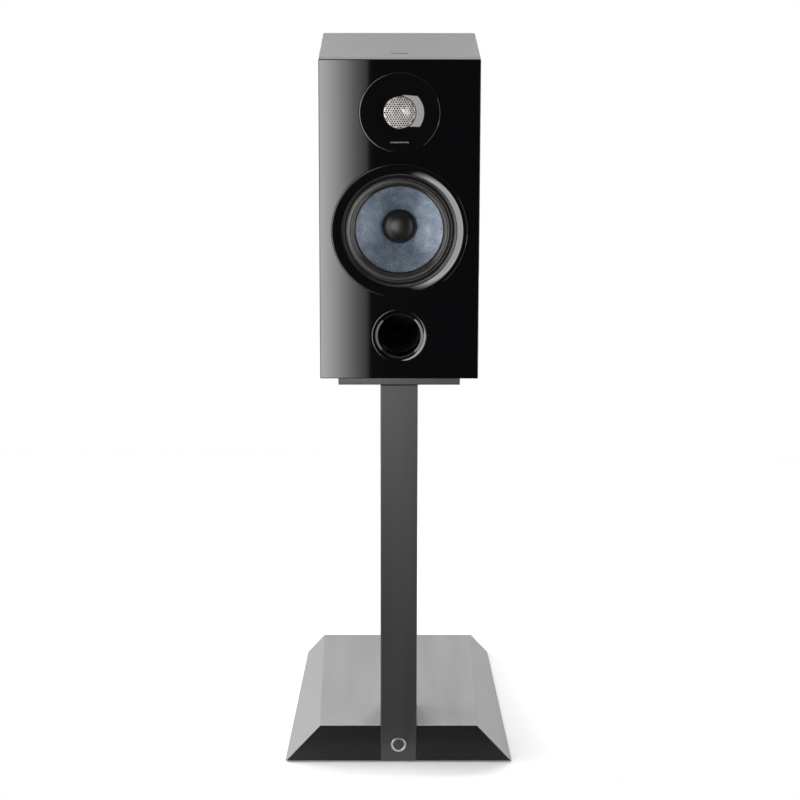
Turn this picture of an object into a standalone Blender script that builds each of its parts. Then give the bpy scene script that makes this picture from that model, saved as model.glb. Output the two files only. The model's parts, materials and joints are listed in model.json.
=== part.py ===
"""A two-way loudspeaker cabinet bolted to its own floor stand.

Metres, +Z up. The speaker faces -Y and +X is to the right of someone who faces it. The origin is
on the floor, at the middle of the object's bounding box.

A driver, the port and everything else that is round is turned about its own Z axis, which points
out of the panel that it sits in. Heights in a turned outline are measured from that panel's face:
positive heights stand proud of it and negative ones lie inside the cabinet.
"""

import math

import bmesh
import bpy
from mathutils import Matrix, Vector

MM = 0.001
GAP = 0.3 * MM

# Overall layout
RIM_PROUD = 1.5 * MM
BASE_SET_BACK = 5 * MM
BASE_DEPTH = 430 * MM
FRONT_Y = RIM_PROUD - (RIM_PROUD + BASE_SET_BACK + BASE_DEPTH) / 2

# Cabinet
CABINET_WIDTH = 210 * MM
CABINET_HEIGHT = 425 * MM
CABINET_DEPTH = 270 * MM
CABINET_FLOOR = 550 * MM
BAFFLE = 18 * MM
WALL = 15 * MM
EDGE = 1.2 * MM
INSIDE_WIDTH = CABINET_WIDTH - 2 * WALL - 2 * GAP
INSIDE_HEIGHT = CABINET_HEIGHT - 2 * WALL - 2 * GAP
BACK_Y = FRONT_Y + CABINET_DEPTH
CABINET_MID = CABINET_FLOOR + CABINET_HEIGHT / 2

# Heights of what sits in the front panel and in the back panel
TWEETER_Z = CABINET_FLOOR + 355.5 * MM
BRACE_Z = CABINET_FLOOR + 301 * MM
WOOFER_Z = CABINET_FLOOR + 199.7 * MM
PORT_Z = CABINET_FLOOR + 58.5 * MM
TERMINAL_Z = CABINET_FLOOR + 72 * MM

# Round openings of the front panel: rebate radius, rebate depth, hole radius
TWEETER_SEAT = (53.3 * MM, 5 * MM, 38 * MM)
WOOFER_SEAT = (89.8 * MM, 7.8 * MM, 76.4 * MM)
PORT_SEAT = (36.7 * MM, 4 * MM, 33 * MM)

# Stand
PLATE_WIDTH = 162 * MM
PLATE_DEPTH = 235 * MM
PLATE_THICK = 9.5 * MM
COLUMN_WIDTH = 50 * MM
COLUMN_DEPTH = 90 * MM
COLUMN_WALL = 3 * MM
BASE_LIFT = 2 * MM
BASE_FRONT_Z = 55 * MM
BASE_BACK_Z = 30 * MM
BASE_FRONT_FOOT = 157 * MM
BASE_BACK_FOOT = 138 * MM
BASE_FRONT_TOP = 108.5 * MM
BASE_SOLE = 6 * MM
BASE_EDGE = 0.8 * MM
STAND_FRONT_Y = FRONT_Y + BASE_SET_BACK
PLATE_TOP = CABINET_FLOOR - GAP
PLATE_BOTTOM = PLATE_TOP - PLATE_THICK
COLUMN_MID_Y = STAND_FRONT_Y + COLUMN_DEPTH / 2
FOOT_RADIUS = 13 * MM
FOOT_EDGE = 0.5 * MM
FOOT_INSET = 28 * MM
FOOT_FRONT_X = 126 * MM
FOOT_BACK_X = 112 * MM

# Screws and bolts
SCREW_HOLE = 1.9 * MM
WOOFER_SCREW_RADIUS = 83.8 * MM
BOLT_X = 60 * MM
BOLT_YS = (STAND_FRONT_Y + 45 * MM, STAND_FRONT_Y + 190 * MM)
BOLT_HOLE = 3.4 * MM
BOLT_REACH = 22 * MM
ROD_YS = (COLUMN_MID_Y - 22 * MM, COLUMN_MID_Y + 22 * MM)
ROD_RADIUS = 4 * MM
ROD_HEAD = 7 * MM
ROD_HEAD_DEEP = 5 * MM

# Terminal cup and binding posts
CUP_FLANGE = 96 * MM
CUP_BODY = 84 * MM
CUP_HOLLOW = 76 * MM
CUP_FLOOR = -20 * MM
CUP_BOTTOM = -24 * MM
POST_X = 18 * MM
CUP_SCREW = 44.3 * MM

# Facets round a circle
FINE = 32
MEDIUM = 20
COARSE = 12
SMALL = 8

FACING_FRONT = (math.pi / 2, 0, 0)
FACING_BACK = (-math.pi / 2, 0, 0)
UPRIGHT = (0, 0, 0)


# ---------------------------------------------------------------- materials


def material(name, colour, roughness, metallic=0.0):
    """A Principled material in the sub-part's own colour."""
    made = bpy.data.materials.new(name)
    made.use_nodes = True
    shader = made.node_tree.nodes["Principled BSDF"]
    shader.inputs["Base Color"].default_value = (*colour, 1)
    shader.inputs["Roughness"].default_value = roughness
    shader.inputs["Metallic"].default_value = metallic
    return made


def make_materials():
    """Every finish that the object uses, by name."""
    return {
        "black_vinyl": material("black_vinyl", (0.030, 0.030, 0.032), 0.45),
        "black_gloss": material("black_gloss", (0.008, 0.008, 0.009), 0.06),
        "raw_board": material("raw_board", (0.34, 0.24, 0.15), 0.85),
        "wadding": material("wadding", (0.62, 0.60, 0.55), 0.95),
        "trim_black": material("trim_black", (0.010, 0.010, 0.011), 0.15),
        "soft_black": material("soft_black", (0.020, 0.018, 0.017), 0.55),
        "rubber": material("rubber", (0.045, 0.038, 0.034), 0.42),
        "slate_fibre": material("slate_fibre", (0.25, 0.29, 0.34), 0.55),
        "cast_alloy": material("cast_alloy", (0.10, 0.10, 0.11), 0.5, 0.8),
        "steel": material("steel", (0.52, 0.52, 0.53), 0.35, 1),
        "ferrite": material("ferrite", (0.03, 0.03, 0.03), 0.6),
        "polyimide": material("polyimide", (0.42, 0.20, 0.05), 0.4),
        "yellow_cloth": material("yellow_cloth", (0.60, 0.42, 0.12), 0.8),
        "silver_mesh": material("silver_mesh", (0.55, 0.53, 0.52), 0.35, 1),
        "dome_alloy": material("dome_alloy", (0.62, 0.60, 0.58), 0.25, 1),
        "brass": material("brass", (0.72, 0.52, 0.22), 0.25, 1),
        "red_plastic": material("red_plastic", (0.42, 0.02, 0.02), 0.3),
        "black_plastic": material("black_plastic", (0.015, 0.015, 0.015), 0.4),
        "circuit_board": material("circuit_board", (0.03, 0.16, 0.07), 0.45),
        "copper": material("copper", (0.60, 0.25, 0.12), 0.35, 1),
        "film_yellow": material("film_yellow", (0.62, 0.50, 0.12), 0.4),
        "white_ceramic": material("white_ceramic", (0.78, 0.76, 0.72), 0.6),
        "stand_black": material("stand_black", (0.055, 0.055, 0.058), 0.38, 0.6),
        "stand_grey": material("stand_grey", (0.38, 0.38, 0.385), 0.42, 0.3),
        "foot_rubber": material("foot_rubber", (0.02, 0.02, 0.02), 0.8),
    }


# ---------------------------------------------------------------- building blocks


def place(name, bm, finish, location=(0, 0, 0), rotation=UPRIGHT, smooth_angle=35):
    """Turns a bmesh into a named object at its place."""
    bmesh.ops.recalc_face_normals(bm, faces=bm.faces)
    mesh = bpy.data.meshes.new(name)
    bm.to_mesh(mesh)
    bm.free()
    if finish:
        mesh.materials.append(finish)
    mesh.shade_smooth()
    mesh.set_sharp_from_angle(angle=math.radians(smooth_angle))
    placed = bpy.data.objects.new(name, mesh)
    placed.location = location
    placed.rotation_euler = rotation
    bpy.context.scene.collection.objects.link(placed)
    return placed


def box_mesh(size, middle=(0, 0, 0), bevel=0.0):
    """A rectangular block, with its edges rounded off by one chamfer if bevel is given."""
    bm = bmesh.new()
    bmesh.ops.create_cube(bm, size=1)
    bmesh.ops.scale(bm, vec=size, verts=bm.verts)
    if bevel:
        bmesh.ops.bevel(bm, geom=list(bm.edges), offset=bevel, segments=1, affect="EDGES")
    bmesh.ops.translate(bm, vec=middle, verts=bm.verts)
    return bm


def turned_mesh(outline, steps, ring=True):
    """Turns an outline of (radius, height) points in millimetres about Z.

    With ring the outline closes on itself, as the section of a ring does. Without it, its first
    and last points lie on the axis.
    """
    bm = bmesh.new()
    points = [bm.verts.new((radius * MM, 0, height * MM)) for radius, height in outline]
    pairs = list(zip(points, points[1:]))
    if ring:
        pairs.append((points[-1], points[0]))
    edges = [bm.edges.new(pair) for pair in pairs]
    bmesh.ops.spin(
        bm,
        geom=points + edges,
        cent=(0, 0, 0),
        axis=(0, 0, 1),
        angle=2 * math.pi,
        steps=steps,
        use_merge=True,
    )
    bmesh.ops.remove_doubles(bm, verts=bm.verts, dist=1e-6)
    bmesh.ops.dissolve_degenerate(bm, dist=1e-7, edges=bm.edges)
    return bm


def turned(name, outline, finish, location, rotation=FACING_FRONT, steps=MEDIUM, ring=True):
    """A turned sub-part at its place."""
    return place(name, turned_mesh(outline, steps, ring), finish, location, rotation)


def arc(middle, radii, start, end, count):
    """Points of an elliptical arc in an outline, in millimetres, from one angle in degrees to another."""
    points = []
    for index in range(count + 1):
        angle = math.radians(start + (end - start) * index / count)
        across = middle[0] + radii[0] * math.cos(angle)
        up = middle[1] + radii[1] * math.sin(angle)
        points.append((across, up))
    return points


def rounded_loop(bm, width, height, radius, level, corner_steps=3):
    """A loop of vertices round a rectangle with round corners, at one level."""
    loop = []
    for quarter, (side_x, side_y) in enumerate(((1, 1), (-1, 1), (-1, -1), (1, -1))):
        middle_x = side_x * (width / 2 - radius)
        middle_y = side_y * (height / 2 - radius)
        for step in range(corner_steps + 1):
            angle = math.pi / 2 * (quarter + step / corner_steps)
            across = middle_x + radius * math.cos(angle)
            along = middle_y + radius * math.sin(angle)
            loop.append(bm.verts.new((across, along, level)))
    return loop


def stacked_mesh(levels):
    """A closed solid through a stack of rounded rectangles: (width, height, corner, level) each."""
    bm = bmesh.new()
    loops = [rounded_loop(bm, *level) for level in levels]
    for lower, upper in zip(loops, loops[1:]):
        for index in range(len(lower)):
            after = (index + 1) % len(lower)
            bm.faces.new((lower[index], lower[after], upper[after], upper[index]))
    bm.faces.new(loops[0])
    bm.faces.new(loops[-1])
    return bm


def cutter(bm, location=(0, 0, 0), rotation=UPRIGHT):
    """A helper that only cuts other objects."""
    helper = place("cutter", bm, None, location, rotation)
    helper.hide_render = True
    helper.display_type = "WIRE"
    return helper


def round_cutter(radius, bottom, top, location, rotation=FACING_FRONT, steps=MEDIUM):
    """A cylinder that cuts, between two heights on its own axis."""
    outline = [(0, top / MM), (radius / MM, top / MM), (radius / MM, bottom / MM), (0, bottom / MM)]
    return cutter(turned_mesh(outline, steps, ring=False), location, rotation)


def stepped_cutter(wide, depth, narrow, location, rotation=FACING_FRONT, steps=MEDIUM):
    """A cutter for a hole with a wider, flat-bottomed seat at its mouth."""
    outline = [
        (0, 5),
        (wide / MM, 5),
        (wide / MM, -depth / MM),
        (narrow / MM, -depth / MM),
        (narrow / MM, -2 * BAFFLE / MM),
        (0, -2 * BAFFLE / MM),
    ]
    return cutter(turned_mesh(outline, steps, ring=False), location, rotation)


def box_cutter(low, high):
    """A block that cuts, given by its two opposite corners."""
    low = Vector(low)
    high = Vector(high)
    return cutter(box_mesh(high - low, (low + high) / 2))


def cut(target, helper):
    """Takes the helper's shape away from the target."""
    modifier = target.modifiers.new("cut", "BOOLEAN")
    modifier.operation = "DIFFERENCE"
    modifier.solver = "EXACT"
    modifier.object = helper


def around(count, radius, start=0.0):
    """(x, z) offsets of points evenly spaced on a circle."""
    angles = [start + 2 * math.pi * index / count for index in range(count)]
    return [(radius * math.cos(angle), radius * math.sin(angle)) for angle in angles]


def screw(name, head_radius, head_high, shank_radius, shank_long, finish, location, rotation):
    """A pan-head screw. Its origin is under the head, on its axis."""
    outline = [
        (0, head_high / MM),
        (head_radius * 0.8 / MM, head_high / MM),
        (head_radius / MM, head_high * 0.5 / MM),
        (head_radius / MM, 0),
        (shank_radius / MM, 0),
        (shank_radius / MM, -shank_long / MM),
        (0, -shank_long / MM),
    ]
    return turned(name, outline, finish, location, rotation, SMALL, ring=False)


# ---------------------------------------------------------------- cabinet


def front_panel(finish):
    """The gloss front panel, with a stepped seat for each driver and for the port."""
    middle = (0, FRONT_Y + BAFFLE / 2, CABINET_MID)
    panel = place(
        "front_baffle",
        box_mesh((CABINET_WIDTH, BAFFLE, CABINET_HEIGHT), middle, EDGE),
        finish,
    )
    for height, seat in ((TWEETER_Z, TWEETER_SEAT), (WOOFER_Z, WOOFER_SEAT), (PORT_Z, PORT_SEAT)):
        cut(panel, stepped_cutter(*seat, (0, FRONT_Y, height), steps=FINE))
    for across, up in woofer_screw_places():
        centre = (across, FRONT_Y, WOOFER_Z + up)
        cut(panel, round_cutter(SCREW_HOLE, -2 * BAFFLE, 0, centre, steps=SMALL))
    return panel


def cabinet_shell(finish):
    """Top, sides and bottom: one board folded round into a four-sided sleeve."""
    depth = CABINET_DEPTH - BAFFLE - GAP
    middle = (0, BACK_Y - depth / 2, CABINET_MID)
    outer = box_mesh((CABINET_WIDTH, depth, CABINET_HEIGHT), middle, EDGE)
    shell = place("cabinet_shell", outer, finish)
    inner_width = CABINET_WIDTH / 2 - WALL
    inner_height = CABINET_HEIGHT / 2 - WALL
    cut(
        shell,
        box_cutter(
            (-inner_width, FRONT_Y, CABINET_MID - inner_height),
            (inner_width, BACK_Y + 5 * MM, CABINET_MID + inner_height),
        ),
    )
    for across, along in bolt_places():
        centre = (across, along, CABINET_FLOOR)
        cut(shell, round_cutter(BOLT_HOLE, -5 * MM, WALL * 0.9, centre, UPRIGHT, SMALL))
    return shell


def back_panel(finish):
    """The rear panel, let into the sleeve, with the opening for the terminal cup."""
    middle = (0, BACK_Y - WALL / 2, CABINET_MID)
    panel = place("back_panel", box_mesh((INSIDE_WIDTH, WALL, INSIDE_HEIGHT), middle), finish)
    half = CUP_BODY / 2 + GAP
    cut(
        panel,
        box_cutter(
            (-half, BACK_Y - 2 * WALL, TERMINAL_Z - half),
            (half, BACK_Y + 5 * MM, TERMINAL_Z + half),
        ),
    )
    for across, up in terminal_screw_places():
        centre = (across, BACK_Y, TERMINAL_Z + up)
        cut(panel, round_cutter(SCREW_HOLE, -2 * WALL, 5 * MM, centre, FACING_BACK, SMALL))
    return panel


def brace(finish):
    """A window brace between the drivers, which ties the four walls together."""
    front = FRONT_Y + BAFFLE + 2 * GAP
    back = BACK_Y - WALL - GAP
    middle = (0, (front + back) / 2, BRACE_Z)
    panel = place("cabinet_brace", box_mesh((INSIDE_WIDTH, back - front, 12 * MM), middle), finish)
    window = stacked_mesh(
        [(110 * MM, 150 * MM, 25 * MM, level * MM) for level in (-20, 20)]
    )
    cut(panel, cutter(window, middle))
    return panel


def wadding(finish):
    """A block of wadding against the rear panel, behind the woofer."""
    size = (170 * MM, 26 * MM, 150 * MM)
    middle = (0, BACK_Y - WALL - GAP - size[1] / 2, CABINET_FLOOR + 212 * MM)
    return place("damping_wadding", box_mesh(size, middle, 4 * MM), finish)


# ---------------------------------------------------------------- woofer


def woofer_screw_places():
    """(x, z) of the four basket screws from the woofer's centre."""
    return around(4, WOOFER_SCREW_RADIUS, math.pi / 4)


def woofer_basket(finish, centre):
    """The cast frame: a flange, six legs and a seat for the magnet."""
    outline = [
        (87.5, -5.2),
        (87.5, -7.5),
        (75.6, -7.5),
        (75.2, -14),
        (48, -55),
        (48, -60),
        (30, -60),
        (30, -57),
        (45.5, -57),
        (45.5, -54.5),
        (73.3, -14),
        (73.3, -5.2),
    ]
    basket = turned("woofer_basket", outline, finish, centre, steps=FINE)
    windows = bmesh.new()
    for index in range(6):
        piece = box_mesh((40 * MM, 32 * MM, 27 * MM), (62 * MM, 0, -31.5 * MM))
        bmesh.ops.rotate(
            piece,
            cent=(0, 0, 0),
            matrix=Matrix.Rotation(math.tau * index / 6, 3, "Z"),
            verts=piece.verts,
        )
        holder = bpy.data.meshes.new("window")
        piece.to_mesh(holder)
        piece.free()
        windows.from_mesh(holder)
        bpy.data.meshes.remove(holder)
    cut(basket, cutter(windows, centre, FACING_FRONT))
    for across, up in woofer_screw_places():
        hole = (centre[0] + across, centre[1], centre[2] + up)
        cut(basket, round_cutter(SCREW_HOLE, -20 * MM, 0, hole, steps=SMALL))
    return basket


def woofer(finishes):
    """The bass and midrange driver, from its trim ring back to the magnet."""
    centre = (0, FRONT_Y, WOOFER_Z)
    trim = [
        (89.3, -3.8),
        (89.3, 0.8),
        (88.4, 1.5),
        (83.6, 1.38),
        (79.8, 1.03),
        (76.3, 0.64),
        (75.8, 0.2),
        (75.8, -3.8),
    ]
    turned("woofer_trim_ring", trim, finishes["trim_black"], centre, steps=FINE)
    woofer_basket(finishes["cast_alloy"], centre)
    for number, (across, up) in enumerate(woofer_screw_places(), 1):
        spot = (across, FRONT_Y + 4.9 * MM, WOOFER_Z + up)
        sizes = (3 * MM, 0.9 * MM, 1.5 * MM, 10 * MM)
        screw(f"woofer_screw_{number}", *sizes, finishes["steel"], spot, FACING_FRONT)

    front_of_roll = arc((65.3, -8.5), (7.7, 5.8), 33, 180, 6)
    back_of_roll = arc((65.3, -9.1), (6.9, 5.1), 180, 33, 6)
    surround = [(80, -4.9), (80, -4.1), (73.2, -4.1)]
    surround += front_of_roll + [(57.6, -10.7), (58.7, -10.7)] + back_of_roll + [(72.6, -4.9)]
    turned("woofer_surround", surround, finishes["rubber"], centre, steps=FINE)

    cone = [(57.3, -10.4), (40, -21), (22.7, -33), (16.1, -38), (16.1, -39.6), (22.7, -34.6)]
    cone += [(40, -22.4), (57.3, -11.7)]
    turned("woofer_cone", cone, finishes["slate_fibre"], centre, steps=FINE)

    cap_front = arc((0, -32), (22.4, 9), 90, 8, 5)
    cap_back = arc((0, -32), (21.4, 8.1), 8, 90, 5)
    cap = cap_front + [(22.4, -32.3), (21.4, -32.0)] + cap_back
    turned("woofer_dust_cap", cap, finishes["soft_black"], centre, ring=False)

    former = [(15.8, -37), (15.8, -70), (15.2, -70), (15.2, -37)]
    turned("woofer_voice_coil", former, finishes["polyimide"], centre, steps=20)

    ridges = [(16.1 + 4.04 * index, -48 + 1.2 * (-1) ** index) for index in range(9)]
    spider = ridges + [(across, up - 0.9) for across, up in reversed(ridges)]
    turned("woofer_spider", spider, finishes["yellow_cloth"], centre, steps=20)

    front_plate = [(40, -60.3), (40, -65.3), (17, -65.3), (17, -60.3)]
    turned("woofer_front_plate", front_plate, finishes["steel"], centre)
    magnet = [(45, -65.6), (45, -81), (22, -81), (22, -65.6)]
    turned("woofer_magnet", magnet, finishes["ferrite"], centre)
    back_plate = [
        (0, -60.6),
        (14.3, -60.6),
        (14.3, -81.3),
        (41, -81.3),
        (42, -82.3),
        (42, -87),
        (0, -87),
    ]
    turned("woofer_back_plate", back_plate, finishes["steel"], centre, ring=False)


# ---------------------------------------------------------------- tweeter


def tweeter(finishes):
    """The treble driver: horn plate, mesh guard, inverted dome and its motor."""
    centre = (0, FRONT_Y, TWEETER_Z)
    plate = [
        (52.8, -4.7),
        (52.8, 0.3),
        (52.1, 1),
        (32.2, 0.75),
        (26.8, -0.45),
        (21.6, -1.3),
        (21.6, -2.7),
        (20.2, -2.7),
        (20.2, -9),
        (37.4, -9),
        (37.4, -4.7),
    ]
    turned("tweeter_faceplate", plate, finishes["trim_black"], centre, steps=FINE)

    guard_front = arc((0, -2.2), (21.2, 3.2), 90, 6, 5)
    guard_back = arc((0, -2.2), (20.4, 2.6), 6, 90, 5)
    guard = guard_front + [(21.2, -2.4), (20.4, -2.4)] + guard_back
    turned("tweeter_grille", guard, finishes["silver_mesh"], centre, ring=False)

    dome_front = [(0, -12.6), (4.6, -12.1), (9, -10.9), (12.2, -9.3), (13, -9.3)]
    dome_back = [(13, -9.8), (12.2, -9.9), (9, -11.5), (4.6, -12.7), (0, -13.2)]
    turned("tweeter_dome", dome_front + dome_back, finishes["dome_alloy"], centre, ring=False)

    roll = [(20.7, -9.9), (17.8, -9.9), (15.6, -8.6), (13.3, -9.3)]
    roll += [(13.3, -9.9), (15.6, -9.3), (17.5, -10.5), (20.7, -10.5)]
    turned("tweeter_surround", roll, finishes["rubber"], centre, steps=20)

    coil = [(12.6, -10.3), (12.6, -17), (12, -17), (12, -10.5)]
    turned("tweeter_voice_coil", coil, finishes["copper"], centre, steps=20)

    motor = [
        (0, -15),
        (11.3, -15),
        (11.3, -26),
        (13.6, -26),
        (13.6, -12.6),
        (21, -12.6),
        (21, -9.6),
        (31.7, -9.6),
        (31.7, -12),
        (26, -12),
        (26, -36),
        (0, -36),
    ]
    turned("tweeter_motor", motor, finishes["cast_alloy"], centre, ring=False)

    housing = [(0, -80), (20, -80), (34, -44), (34, -9.3), (32, -9.3), (32, -43.6), (18.6, -78), (0, -78)]
    turned("tweeter_housing", housing, finishes["black_plastic"], centre, ring=False)


# ---------------------------------------------------------------- port


def port(finishes):
    """The bass port: a moulded flare in the front panel and the tube behind it."""
    centre = (0, FRONT_Y, PORT_Z)
    mouth = arc((34, -7.2), (5.8, 8), 90, 180, 5)
    flare = [(36.4, -3.7), (36.4, 0.2), (35.6, 0.8)] + mouth
    flare += [(28.2, -24), (31, -24), (31, -3.7)]
    turned("port_flare", flare, finishes["black_gloss"], centre, steps=FINE)
    tube = [
        (34, -19),
        (34, -27),
        (30.8, -29),
        (30.8, -122),
        (37, -132),
        (35, -132.6),
        (28.2, -123),
        (28.2, -24.3),
        (31.9, -24.3),
        (31.9, -19),
    ]
    turned("port_tube", tube, finishes["black_plastic"], centre)


# ---------------------------------------------------------------- terminals and crossover


def terminal_screw_places():
    """(x, z) of the four corner screws from the terminal cup's centre."""
    return [(side * CUP_SCREW, rise * CUP_SCREW) for side in (-1, 1) for rise in (-1, 1)]


def terminal_cup(finish):
    """The recessed cup in the rear panel that holds the binding posts."""
    levels = [
        (CUP_BODY, CUP_BODY, 3 * MM, CUP_BOTTOM),
        (CUP_BODY, CUP_BODY, 3 * MM, GAP),
        (CUP_FLANGE, CUP_FLANGE, 6 * MM, GAP),
        (CUP_FLANGE, CUP_FLANGE, 6 * MM, 2 * MM),
        (CUP_FLANGE - 1.6 * MM, CUP_FLANGE - 1.6 * MM, 5.2 * MM, 2.8 * MM),
        (CUP_HOLLOW, CUP_HOLLOW, 5 * MM, 2.8 * MM),
        (CUP_HOLLOW - 3 * MM, CUP_HOLLOW - 3 * MM, 5 * MM, CUP_FLOOR),
    ]
    centre = (0, BACK_Y, TERMINAL_Z)
    cup = place("terminal_cup", stacked_mesh(levels), finish, centre, FACING_BACK)
    for side in (-1, 1):
        hole = (side * POST_X, BACK_Y, TERMINAL_Z)
        cut(cup, round_cutter(3.3 * MM, -30 * MM, -10 * MM, hole, FACING_BACK, COARSE))
    for across, up in terminal_screw_places():
        hole = (across, BACK_Y, TERMINAL_Z + up)
        cut(cup, round_cutter(SCREW_HOLE, -5 * MM, 5 * MM, hole, FACING_BACK, SMALL))
    return cup


def binding_post(side, word, cap_finish, finishes):
    """One threaded post with its inner nut, its clamping collar and its screw knob."""
    centre = (side * POST_X, BACK_Y, TERMINAL_Z)
    stem = [(0, -16), (2.1, -16), (2.1, -4), (3, -4), (3, -17.5), (7, -17.5), (7, -19.7)]
    stem += [(3, -19.7), (3, -31), (0, -31)]
    turned(f"terminal_post_{word}", stem, finishes["brass"], centre, FACING_BACK, COARSE, ring=False)
    nut = [(6, -24.3), (6, -27.3), (3.6, -27.3), (3.6, -24.3)]
    turned(f"terminal_nut_{word}", nut, finishes["brass"], centre, FACING_BACK, 6)
    collar = [(8, -15.2), (8, -17.2), (3.4, -17.2), (3.4, -15.2)]
    turned(f"terminal_collar_{word}", collar, finishes["brass"], centre, FACING_BACK, 16)
    knob = [
        (2.3, 0),
        (7.6, 0),
        (8.4, -1),
        (8.4, -12.4),
        (7.4, -14.9),
        (3.4, -14.9),
        (3.4, -3.4),
        (2.3, -3.4),
    ]
    turned(f"terminal_knob_{word}", knob, cap_finish, centre, FACING_BACK, 16)


def crossover(finishes):
    """The filter board that hangs on the binding posts, with its coils, capacitors and resistor."""
    rear = BACK_Y - 27.9 * MM
    front = rear - 1.6 * MM
    size = (112 * MM, 1.6 * MM, 96 * MM)
    board = place(
        "crossover_board",
        box_mesh(size, (0, (rear + front) / 2, TERMINAL_Z)),
        finishes["circuit_board"],
    )
    for side in (-1, 1):
        hole = (side * POST_X, BACK_Y, TERMINAL_Z)
        cut(board, round_cutter(3.4 * MM, -40 * MM, -20 * MM, hole, FACING_BACK, COARSE))

    face = front - GAP
    big_coil = [(17, 16), (17, 0), (7, 0), (7, 16)]
    spot = (-36 * MM, face, TERMINAL_Z + 27 * MM)
    turned("crossover_coil_large", big_coil, finishes["copper"], spot, steps=20)
    small_coil = [(13, 12), (13, 0), (5, 0), (5, 12)]
    spot = (40 * MM, face, TERMINAL_Z - 30 * MM)
    turned("crossover_coil_small", small_coil, finishes["copper"], spot, steps=20)
    for word, radius, long, across, up in (
        ("large", 9, 34, 26, 30),
        ("small", 6.5, 28, -2, -26),
    ):
        can = [(0, long / 2), (radius, long / 2), (radius, -long / 2), (0, -long / 2)]
        spot = (across * MM, face - radius * MM, TERMINAL_Z + up * MM)
        along_x = (0, math.pi / 2, 0)
        name = f"crossover_capacitor_{word}"
        turned(name, can, finishes["film_yellow"], spot, along_x, 14, ring=False)
    resistor = (26 * MM, 9 * MM, 9 * MM)
    spot = (-38 * MM, face - resistor[1] / 2, TERMINAL_Z - 26 * MM)
    place("crossover_resistor", box_mesh(resistor, spot, 0.8 * MM), finishes["white_ceramic"])


def terminals(finishes):
    """Everything that the speaker cable meets, in the rear panel and behind it."""
    terminal_cup(finishes["black_plastic"])
    binding_post(-1, "red", finishes["red_plastic"], finishes)
    binding_post(1, "black", finishes["black_plastic"], finishes)
    for number, (across, up) in enumerate(terminal_screw_places(), 1):
        spot = (across, BACK_Y + 3.1 * MM, TERMINAL_Z + up)
        sizes = (3.2 * MM, 1.8 * MM, 1.5 * MM, 14 * MM)
        screw(f"terminal_screw_{number}", *sizes, finishes["steel"], spot, FACING_BACK)
    crossover(finishes)


# ---------------------------------------------------------------- stand


def bolt_places():
    """(x, y) of the four bolts that hold the cabinet down on the stand."""
    return [(side * BOLT_X, along) for side in (-1, 1) for along in BOLT_YS]


def top_plate(finish):
    """The plate under the cabinet."""
    size = (PLATE_WIDTH, PLATE_DEPTH, PLATE_THICK)
    middle = (0, STAND_FRONT_Y + PLATE_DEPTH / 2, PLATE_TOP - PLATE_THICK / 2)
    plate = place("stand_top_plate", box_mesh(size, middle, 0.8 * MM), finish)
    for across, along in bolt_places():
        centre = (across, along, PLATE_TOP)
        cut(plate, round_cutter(BOLT_HOLE, -2 * PLATE_THICK, 5 * MM, centre, UPRIGHT, SMALL))
    for along in ROD_YS:
        seat = (ROD_HEAD + GAP, ROD_HEAD_DEEP, ROD_RADIUS + GAP)
        cut(plate, stepped_cutter(*seat, (0, along, PLATE_TOP), UPRIGHT, COARSE))
    return plate


def column(finish):
    """The hollow upright. Its front wall reaches down over the base's sole."""
    top = PLATE_BOTTOM - GAP
    seat = BASE_LIFT + BASE_SOLE + GAP
    size = (COLUMN_WIDTH, COLUMN_DEPTH, top - BASE_LIFT)
    middle = (0, COLUMN_MID_Y, (top + BASE_LIFT) / 2)
    post = place("stand_column", box_mesh(size, middle, EDGE), finish)
    inner_x = COLUMN_WIDTH / 2 - COLUMN_WALL
    inner_y = COLUMN_DEPTH / 2 - COLUMN_WALL
    cut(
        post,
        box_cutter(
            (-inner_x, COLUMN_MID_Y - inner_y, 0),
            (inner_x, COLUMN_MID_Y + inner_y, top + 5 * MM),
        ),
    )
    cut(
        post,
        box_cutter(
            (-COLUMN_WIDTH, COLUMN_MID_Y - inner_y, 0),
            (COLUMN_WIDTH, COLUMN_MID_Y + COLUMN_DEPTH, seat),
        ),
    )
    return post


def base(finish):
    """The foot of the stand: a wedge with sloping sides that is thickest at the front."""
    slope = (BASE_FRONT_FOOT - BASE_FRONT_TOP) / (BASE_FRONT_Z - BASE_LIFT)
    back_top = BASE_BACK_FOOT - slope * (BASE_BACK_Z - BASE_LIFT)
    front = STAND_FRONT_Y
    back = STAND_FRONT_Y + BASE_DEPTH
    corners = [
        (BASE_FRONT_FOOT, front, BASE_LIFT),
        (BASE_FRONT_TOP, front, BASE_FRONT_Z),
        (back_top, back, BASE_BACK_Z),
        (BASE_BACK_FOOT, back, BASE_LIFT),
    ]
    bm = bmesh.new()
    right = [bm.verts.new(corner) for corner in corners]
    left = [bm.verts.new((-across, along, up)) for across, along, up in corners]
    bm.faces.new(right)
    bm.faces.new(left)
    for index in range(4):
        after = (index + 1) % 4
        bm.faces.new((right[index], right[after], left[after], left[index]))
    bmesh.ops.recalc_face_normals(bm, faces=bm.faces)
    bmesh.ops.bevel(bm, geom=list(bm.edges), offset=BASE_EDGE, segments=1, affect="EDGES")
    foot = place("stand_base", bm, finish)
    half = COLUMN_WIDTH / 2 + GAP
    rear = STAND_FRONT_Y + COLUMN_DEPTH + GAP
    sole = BASE_LIFT + BASE_SOLE
    lip = STAND_FRONT_Y + COLUMN_WALL + GAP
    cut(foot, box_cutter((-half, front - 5 * MM, sole), (half, rear, 2 * BASE_FRONT_Z)))
    cut(foot, box_cutter((-half, front - 5 * MM, -5 * MM), (half, lip, 2 * BASE_FRONT_Z)))
    for along in ROD_YS:
        centre = (0, along, sole)
        hole = ROD_RADIUS + GAP
        cut(foot, round_cutter(hole, -2 * BASE_SOLE, 5 * MM, centre, UPRIGHT, COARSE))
    return foot


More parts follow.
